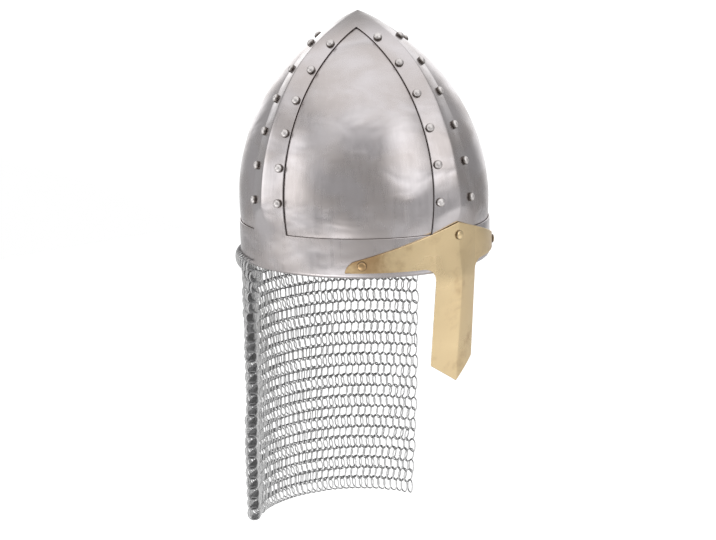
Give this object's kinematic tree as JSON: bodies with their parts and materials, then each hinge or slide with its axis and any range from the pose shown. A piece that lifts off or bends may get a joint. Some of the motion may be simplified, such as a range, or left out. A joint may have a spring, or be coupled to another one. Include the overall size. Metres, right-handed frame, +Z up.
{
  "type": "conical helmet with nasal and mail curtain",
  "caption": "Conical riveted steel helmet with creased bands over curved panels, a brass nose guard and a curtain of mail that hangs from the rim round the neck.",
  "frame": {"origin": "middle of the head opening, on the plane of the rim", "axes": "+Z up to the point of the bowl, -Y to the wearer's front, +X to the wearer's left"},
  "size_m": [0.221, 0.2388, 0.473],
  "materials": {
    "steel": "hand-polished mild steel, soft blurred reflections, faint hammer mottling and scratches",
    "rivet_steel": "domed steel rivets, duller at their edges",
    "brass": "satin brass, pale yellow with brown tarnish at rivets and edges",
    "mail_steel": "plain round steel wire, butted rings, dull grey"
  },
  "bodies": {
    "root": {"frame": "steel", "panel_front_right": "steel", "panel_front_left": "steel", "panel_back_right": "steel", "panel_back_left": "steel", "rivet_front_right_1": "rivet_steel", "rivet_front_right_2": "rivet_steel", "rivet_front_right_3": "rivet_steel", "rivet_front_right_4": "rivet_steel", "rivet_front_right_5": "rivet_steel", "rivet_front_right_6": "rivet_steel", "rivet_front_left_1": "rivet_steel", "rivet_front_left_2": "rivet_steel", "rivet_front_left_3": "rivet_steel", "rivet_front_left_4": "rivet_steel", "rivet_front_left_5": "rivet_steel", "rivet_front_left_6": "rivet_steel", "rivet_left_front_1": "rivet_steel", "rivet_left_front_2": "rivet_steel", "rivet_left_front_3": "rivet_steel", "rivet_left_front_4": "rivet_steel", "rivet_left_front_5": "rivet_steel", "rivet_left_front_6": "rivet_steel", "rivet_left_back_1": "rivet_steel", "rivet_left_back_2": "rivet_steel", "rivet_left_back_3": "rivet_steel", "rivet_left_back_4": "rivet_steel", "rivet_left_back_5": "rivet_steel", "rivet_left_back_6": "rivet_steel", "rivet_back_left_1": "rivet_steel", "rivet_back_left_2": "rivet_steel", "rivet_back_left_3": "rivet_steel", "rivet_back_left_4": "rivet_steel", "rivet_back_left_5": "rivet_steel", "rivet_back_left_6": "rivet_steel", "rivet_back_right_1": "rivet_steel", "rivet_back_right_2": "rivet_steel", "rivet_back_right_3": "rivet_steel", "rivet_back_right_4": "rivet_steel", "rivet_back_right_5": "rivet_steel", "rivet_back_right_6": "rivet_steel", "rivet_right_back_1": "rivet_steel", "rivet_right_back_2": "rivet_steel", "rivet_right_back_3": "rivet_steel", "rivet_right_back_4": "rivet_steel", "rivet_right_back_5": "rivet_steel", "rivet_right_back_6": "rivet_steel", "rivet_right_front_1": "rivet_steel", "rivet_right_front_2": "rivet_steel", "rivet_right_front_3": "rivet_steel", "rivet_right_front_4": "rivet_steel", "rivet_right_front_5": "rivet_steel", "rivet_right_front_6": "rivet_steel", "nasal": "brass", "nasal_rivet_right": "brass", "nasal_rivet_middle": "brass", "nasal_rivet_left": "brass", "mail_curtain": "mail_steel"}
  },
  "joints": []
}
